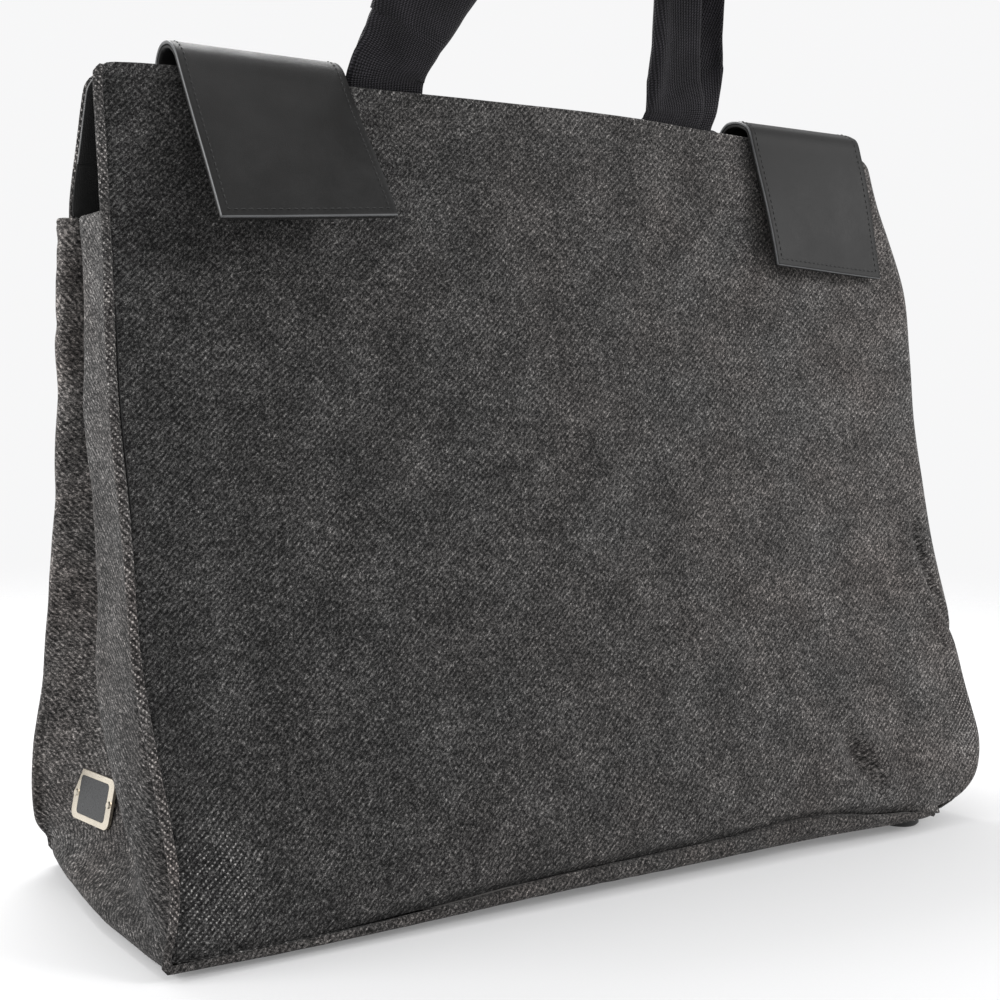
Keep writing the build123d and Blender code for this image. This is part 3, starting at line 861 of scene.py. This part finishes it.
def web_section(shape, spread, count):
    """A ring round the webbing's section, and how far along its width each point lies."""
    flat = np.array(FLAT_WEB, float)
    middle = flat + (np.array(ROLLED_WEB, float) - flat) * shape
    middle = spline(middle * [spread, 1.0], count)
    along = unit(np.gradient(middle, axis=0))
    normal = stack(-along[:, 1], along[:, 0])
    thick = np.full((count, 1), WEB_T / 2)
    thick[[0, -1]] *= 0.45
    ring = np.vstack([middle + normal * thick, (middle - normal * thick)[::-1]])
    run = run_along(middle)
    return ring, np.concatenate([run, run[::-1]])


def handle_stations(side, hinge):
    """Places along a handle: point, path, outer face direction, roll of the section, spread."""
    lean_up = strap_up(side)
    up = lean_up * [1, 1, -side]
    front = np.array([0, side * cos(STRAP_LEAN), side * sin(STRAP_LEAN)])
    across = np.array([1.0, 0, 0])
    seam_top = hinge - STUB * lean_up
    sewn_low = seam_top - SEWN * np.array([0, -side * LEAN_SIN, LEAN_COS])
    roll_start, roll_end = (2.0, 34.0) if side < 0 else (14.0, 75.0)
    stations = []
    rises = np.linspace(0, LEG_RISE, 75)[:-1]
    for rise in rises:
        turn = np.clip((TWIST_END - rise) / (TWIST_END - TWIST_START), 0, 1)
        heading = pi / 2 - CANT * smooth(rise / 16.0)
        shape = smooth((rise - roll_start + 8) / (roll_end - roll_start))
        stations.append((-STRAP_X + rise * tan(CANT), rise, heading, turn, shape))
    for step in range(ARCH_STEPS + 1):
        around = pi - CANT - (pi - 2 * CANT) * step / ARCH_STEPS
        stations.append((ARCH_R * cos(around), ARCH_UP + ARCH_R * sin(around),
                         around - pi / 2, 0.0, 1.0))
    leg = stations[:len(rises)]
    stations += [(-x, rise, -heading, -turn, shape) for x, rise, heading, turn, shape in leg[::-1]]
    foot = hinge * [0, 1, 1]
    made = []
    for x, rise, heading, turn, shape in stations:
        if side < 0:
            share = np.clip((x + ARCH_X) / (2 * ARCH_X), 0, 1) if rise >= LEG_RISE else float(x > 0)
            low = min(rise, LEG_RISE)
            x = x + SHIFT[-1](low) * (1 - share) + SHIFT[1](low) * share
        path = across * cos(heading) + up * sin(heading)
        outside = up * cos(heading) - across * sin(heading)
        facing = outside * cos(turn * pi / 2) + front * sin(turn * pi / 2)
        made.append((foot + across * x + up * rise, path, facing, shape, SPREAD[-1 if x < 0 else 1](rise)))
    skip = int(np.searchsorted(rises, SEWN_JOIN)) + 2
    sewn = {}
    for end in (-1, 1):
        aside = 0.0 if side > 0 else SHIFT[end](0)
        shift = np.array([end * STRAP_X + aside, 0, 0])
        low, top = sewn_low + shift, seam_top + shift
        first = made[skip - 1][0] if end < 0 else made[-skip][0]
        roll = made[skip][3] if end < 0 else made[-1 - skip][3]
        corner = [low, low + (top - low) * 0.5, top]
        if side < 0:
            corner += [foot + shift, first]
        else:
            ridge = np.array([top[0], outer_y(TOP_Z) - 1.2, TOP_Z + 3.4])
            corner += [ridge + [0, -3.0, -0.9], ridge, ridge + [0, 2.9, -1.1],
                       ridge * 0.45 + first * 0.55 + [0, 1.2, 0.6], first]
        line = spline(corner, 48)
        path = unit(np.gradient(line, axis=0))
        places = []
        for k, point in enumerate(line):
            facing = unit(np.cross(across, path[k]))
            share = smooth((k / (len(line) - 1) - 0.72) / 0.28)
            rise = max(0.0, float(np.dot(point - foot, up)))
            rise = min(rise, SEWN_JOIN) if k > len(line) // 2 else 0.0
            places.append((point, path[k] * -end, facing * -end, share * roll, SPREAD[end](rise)))
        sewn[end] = places[::-end]
    return sewn[-1] + made[skip:len(made) - skip] + sewn[1]


def make_handles():
    for side, face in FACES:
        hinge = joints[face + "_handle_fold"]
        stations = handle_stations(side, hinge)
        count = 44
        sides = 2 * count
        points, cloth = [], []
        run = run_along(np.array([station[0] for station in stations]))
        for k, (place, path, facing, shape, spread) in enumerate(stations):
            ring, width = web_section(float(shape), float(spread), count)
            across = unit(np.cross(path, facing))
            points.append(place + ring[:, :1] * across + ring[:, 1:] * facing)
            cloth.append(stack(run[k], width, 0.0))
        faces = ring_faces(len(stations), sides)
        last = (len(stations) - 1) * sides
        for s in range(count - 1):
            m = sides - 1 - s
            faces.append((s, s + 1, m - 1, m))
            faces.append((last + s, last + m, last + m - 1, last + s + 1))
        strap = add_piece(face + "_handle_webbing", np.vstack(points), faces, WEBBING, np.vstack(cloth) * MM)
        lean_up = strap_up(side)
        if side < 0:
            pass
        else:
            away = panel_out(side)
        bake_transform(strap)
        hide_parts(face + "_handle", face + "_handle_ends")


# ---- leather flaps ----
FLAP_T = 3.2
BACKING_T = 1.4
STITCH_IN = 3.2
STITCH_PITCH = 3.3
STITCH_LENGTH = 2.5
STITCH_R = 0.33
FLAP_X = 161.0
FLAP_HALF = 40.0
TAB_HEIGHT = 42.0


def flap_line(end):
    """The flap's underside in section, as y and z, from its hinge over the mouth to its tip."""
    hinge = joints[("left" if end < 0 else "right") + "_flap_hinge"]
    back, low = hinge[1] - FLAP_T / 2 + 0.1, hinge[2] + 0.4
    tip = (-57.0, 303.0) if end < 0 else (-31.5, 300.5)
    slope = (tip[0] + 9.6) / (tip[1] - 375.1)
    sink = 1.0 if end < 0 else 3.0
    joins = [(back, low), (back - 0.1, low + 4.6), (back - 2.3, low + 9.4 - 0.7 * sink),
             (4.2, low + 12.0 - sink), (-2.4, low + 11.6 - sink), (-7.6, low + 8.6 - 0.7 * sink)]
    for z in (372.6, 365.0, 355.0, 345.0, 335.0, 325.0, 315.0, tip[1]):
        sag = -1.3 * sin(pi * (372.6 - z) / (372.6 - tip[1])) if end > 0 else 0.0
        joins.append((-9.6 + (z - 375.1) * slope + sag, z))
    return np.array(joins)


def flap_surface(end, lift, rows, cols, inset=0.0):
    """A grid over a flap, lift above its underside, with its place on the flat leather."""
    line = spline(flap_line(end), 400)
    run = run_along(line)
    at = np.linspace(0, run[-1] - inset, rows)
    line = pick(line, run, at)
    along = unit(np.gradient(line, axis=0))
    out = stack(along[:, 1], -along[:, 0])
    out = out * -np.sign(out[-1, 0])
    centre = end * FLAP_X
    x = centre + np.linspace(inset - FLAP_HALF, FLAP_HALF - inset, cols)
    down = at[:, None]
    free = smooth((down - 34) / (run[-1] - 34))
    side = (x - centre) / FLAP_HALF
    turn = (2.4 * side if end > 0 else -0.8 * side) * free
    drop = (3.0 * side if end < 0 else -1.7 * side - 2.0) * free
    slide = (2.0 if end < 0 else 0.6) * free
    total = lift + 0.35 * waves(x, 0.0, down, 30, 20 + end) * free
    out_y, out_z = out[:, :1], out[:, 1:]
    grid = stack(x + slide, line[:, :1] + out_y * total + turn, line[:, 1:] + out_z * total + drop)
    return grid, stack(x, down), np.broadcast_to(stack(0.0, out_y, out_z), grid.shape)


def stitches(name, line, normals, body):
    """A row of separate stitches along a line that lies on a surface, as one piece."""
    run = run_along(line)
    number = max(2, int(run[-1] / STITCH_PITCH))
    sides, rings = 8, 5
    points, faces = [], []
    for k in range(number):
        middle = (k + 0.5) * run[-1] / number
        at = np.linspace(middle - STITCH_LENGTH / 2, middle + STITCH_LENGTH / 2, rings)
        spine = pick(line, run, at)
        normal = unit(pick(normals, run, middle))
        along = unit(spine[-1] - spine[0])
        side = np.cross(along, normal)
        base = len(points)
        for r in range(rings):
            t = -1 + 2 * r / (rings - 1)
            thick = STITCH_R * sqrt(max(0.08, 1 - t ** 4))
            height = 0.16 - 0.34 * t * t
            for s in range(sides):
                a = 2 * pi * s / sides
                up = normal * (sin(a) * thick * 0.8 + height)
                points.append(spine[r] + side * cos(a) * thick + up)
        faces += ring_faces(rings, sides, base)
        faces.append(tuple(base + s for s in range(sides))[::-1])
        faces.append(tuple(base + (rings - 1) * sides + s for s in range(sides)))
    settle(add_piece(name, points, faces, THREAD), body, "leather")


def colour_rim(piece, rows, cols, material, low_edge=True):
    """Give the rounded edge of a rows by cols ply its own finish.

    The edge's faces are the last ones made, and those of its first row come before the others."""
    faces = 4 * (rows + cols - 2) - (0 if low_edge else 2 * (cols - 1))
    piece.data.materials.append(material)
    for polygon in piece.data.polygons[-faces:]:
        polygon.material_index = 1


def surface_route(grid, normals, places):
    """The line over a grid through places given as shares of its rows and columns, and its normals."""
    rows, cols = grid.shape[:2]
    both = np.concatenate([grid, normals], -1)
    route = []
    for (r0, c0), (r1, c1) in zip(places, places[1:]):
        for t in np.linspace(0, 1, 60):
            r = (r0 + (r1 - r0) * t) * (rows - 1)
            c = (c0 + (c1 - c0) * t) * (cols - 1)
            i, j = min(int(r), rows - 2), min(int(c), cols - 2)
            a, b = r - i, c - j
            mix = ((1 - a) * (1 - b), (1 - a) * b, a * (1 - b), a * b)
            spots = ((i, j), (i, j + 1), (i + 1, j), (i + 1, j + 1))
            route.append(sum(m * both[s] for m, s in zip(mix, spots)))
    route = np.array(route)
    return route[:, :3], route[:, 3:]


def make_flaps():
    rows, cols = 120, 48
    for end, name in ENDS:
        body = name + "_flap"
        grid, cloth, normal = flap_surface(end, FLAP_T, rows, cols)
        outer = add_ply(name + "_flap_leather", grid, FLAP_T - BACKING_T - 0.25, LEATHER, cloth,
                        -normal, bulge=0.3)
        colour_rim(outer, rows, cols, LEATHER_EDGE)
        settle(outer, body, "leather", name + "_flap_outer")
        inner, flat, facing = flap_surface(end, BACKING_T, rows, cols, inset=0.35)
        backing = add_ply(name + "_flap_lining_leather", inner, BACKING_T, LEATHER_BACK, flat,
                          -facing, bulge=0.3)
        settle(backing, body, "leather_back", name + "_flap_backing")
        length = cloth[-1, 0, 1]
        side_in = STITCH_IN / (2 * FLAP_HALF)
        foot_in = 1 - STITCH_IN / length
        route = [(0.03, side_in), (foot_in, side_in), (foot_in, 1 - side_in), (0.03, 1 - side_in)]
        line, ups = surface_route(grid, normal, route)
        stitches(name + "_flap_stitching", line, ups, body)
        make_tab(name)


def make_tab(name):
    """The sewn tab behind the bag and the single ply that bends between it and the flap."""
    low, high = box_mm(name + "_flap_tab")
    rows, cols = 40, 44
    x, z = np.meshgrid(np.linspace(low[0], high[0], cols), np.linspace(low[2] + 0.6, high[2] - 2.0, rows))
    out = panel_out(1)
    grid = stack(x, outer_y(z), z) + out * (FLAP_T + 0.1)
    tab = add_ply(name + "_flap_tab_leather", grid, FLAP_T, LEATHER, stack(x, z), -out, bulge=0.3)
    colour_rim(tab, rows, cols, LEATHER_EDGE)
    settle(tab, "bag", "leather", name + "_flap_tab")
    side_in, foot_in = STITCH_IN / (2 * FLAP_HALF), STITCH_IN / TAB_HEIGHT
    route = [(1 - foot_in, side_in), (foot_in, side_in), (foot_in, 1 - side_in),
             (1 - foot_in, 1 - side_in), (1 - foot_in, side_in)]
    line, ups = surface_route(grid, out * np.ones_like(grid), route)
    stitches(name + "_tab_stitching", line, ups, "bag")
    hinge = joints[name + "_flap_hinge"]
    x, z = np.meshgrid(np.linspace(low[0] + 0.5, high[0] - 0.5, cols),
                       np.linspace(high[2] - 3.0, hinge[2] + 2.4, 24))
    lean = outer_y(z) + 1.75
    straight = hinge[1] + 0.6
    y = lean + (straight - lean) * smooth((z - high[2]) / (hinge[2] - high[2]))
    strip = add_ply(name + "_flap_hinge_leather", stack(x, y, z), 1.3, LEATHER_BACK, stack(x, z),
                    np.array([0, -1.0, 0]), bulge=0.3)
    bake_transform(strip)


# ---- pieces that keep their CAD shape ----
def finish_cad_nodes():
    kept = {"feet": FOOT, "foot_washers": STEEL, "base_board": BOARD, "plaque_plate": PLAQUE_METAL,
            "plaque_inlay": ENAMEL, "plaque_rivets": PLAQUE_METAL, "plaque_washers": STEEL}
    for _, name in ENDS:
        for part in ("snap_stud", "snap_socket", "snap_washer"):
            kept[name + "_" + part] = STEEL
    for node, material in kept.items():
        piece = nodes[node]
        if not piece.material_slots:
            piece.data.materials.append(material)
        for slot in piece.material_slots:
            slot.material = material


# ---- camera, light and stage ----
def make_camera():
    place = Vector((-0.4426, -0.6596, 0.2267))
    yaw, pitch, roll = (radians(a) for a in (32.175, 3.573, 0.433))
    data = bpy.data.cameras.new("camera")
    data.sensor_width = 36.0
    data.lens = 56.05
    data.clip_start = 0.02
    camera = add_object("camera", data)
    camera.matrix_world = (Matrix.Translation(place) @ Matrix.Rotation(-yaw, 4, "Z")
                           @ Matrix.Rotation(pi / 2 - pitch, 4, "X") @ Matrix.Rotation(roll, 4, "Z"))
    scene.camera = camera


def add_light(name, place, target, size, power):
    data = bpy.data.lights.new(name, "AREA")
    data.shape = "RECTANGLE"
    data.size, data.size_y = size
    data.energy = power
    light = add_object(name, data)
    light.location = place
    aim = Vector(target) - Vector(place)
    light.rotation_euler = aim.to_track_quat("-Z", "Y").to_euler()


def make_stage():
    world = bpy.data.worlds.new("studio")
    scene.world = world
    world.use_nodes = True
    back = world.node_tree.nodes["Background"]
    back.inputs["Color"].default_value = (0.93, 0.93, 0.935, 1)
    back.inputs["Strength"].default_value = 1.0
    scene.view_settings.view_transform = "Standard"
    scene.view_settings.look = "None"
    add_light("left_side", (-1.5, 0.35, 0.75), (-0.2, 0, 0.2), (0.8, 1.1), 17)
    add_light("right_front", (1.15, -1.3, 1.0), (0.15, 0, 0.2), (0.6, 0.6), 18)
    add_light("top", (0.0, 0.75, 1.35), (0, 0, 0.1), (0.9, 0.6), 13)
    n = Nodes("stage_paper")
    place = n.node("TexCoord").outputs["Object"]
    reach = n.node("VectorMath", {0: place}, operation="LENGTH").outputs["Value"]
    colour = n.ramp(n.noise(place, 900), (0.0, (0.745, 0.745, 0.748)), (1.0, (0.775, 0.775, 0.778)))
    n.finish(colour, 0.8, specular=0.2)
    glow = n.node("Emission", {"Color": (0.90, 0.90, 0.905, 1)}).outputs[0]
    lit = n.node("MixShader", {0: 0.2, 1: n.shader.outputs[0], 2: glow}).outputs[0]
    clear = n.node("BsdfTransparent").outputs[0]
    faded = n.node("MixShader", {0: n.span(reach, 0.45, 1.5), 1: lit, 2: clear}).outputs[0]
    n.link(faded, n.output.inputs["Surface"])
    mesh = bpy.data.meshes.new("floor")
    ring = [(2.0 * cos(a), 2.0 * sin(a), 0.0) for a in np.linspace(0, 2 * pi, 65)[:-1]]
    mesh.from_pydata(ring, [], [tuple(range(64))])
    mesh.materials.append(n.material)
    add_object("floor", mesh)


make_camera()
make_stage()
make_panels()
make_piping()
make_gussets()
make_bottom()
make_handles()
make_flaps()
finish_cad_nodes()
